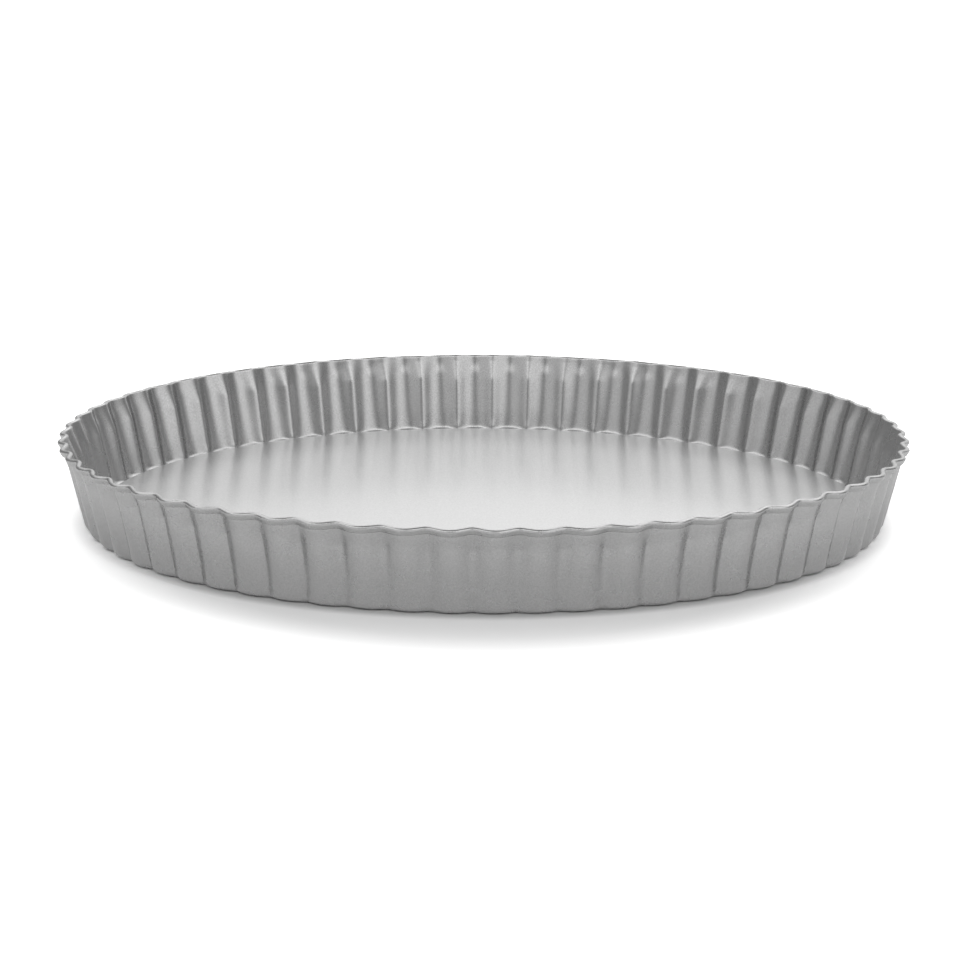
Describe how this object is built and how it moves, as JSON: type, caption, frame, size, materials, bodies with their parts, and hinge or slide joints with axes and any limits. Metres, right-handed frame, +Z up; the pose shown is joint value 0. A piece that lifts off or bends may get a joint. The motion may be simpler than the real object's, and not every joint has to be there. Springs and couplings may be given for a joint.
{
  "type": "tart pan",
  "caption": "Round fluted tart pan with a flared wall, an outward-folded rim and a loose flat base that lifts out.",
  "frame": {"origin": "centre of the flat underside that the pan stands on", "axes": "+Z up, along the pan's axis; +X and +Y each pass through the crown of a flute"},
  "size_m": [0.281, 0.281, 0.0282],
  "materials": {
    "coated_wall": "silver-grey non-stick coating, satin, with a fine metallic fleck",
    "coated_base": "silver-grey non-stick coating, satin, with a fine metallic fleck"
  },
  "bodies": {
    "ring": {"fluted_ring": "coated_wall"},
    "base": {"loose_base": "coated_base"}
  },
  "joints": [
    {"name": "base_lift", "type": "slide", "parent": "ring", "child": "base", "axis": [0, 0, 1], "range_m": [0, 0.06]}
  ]
}
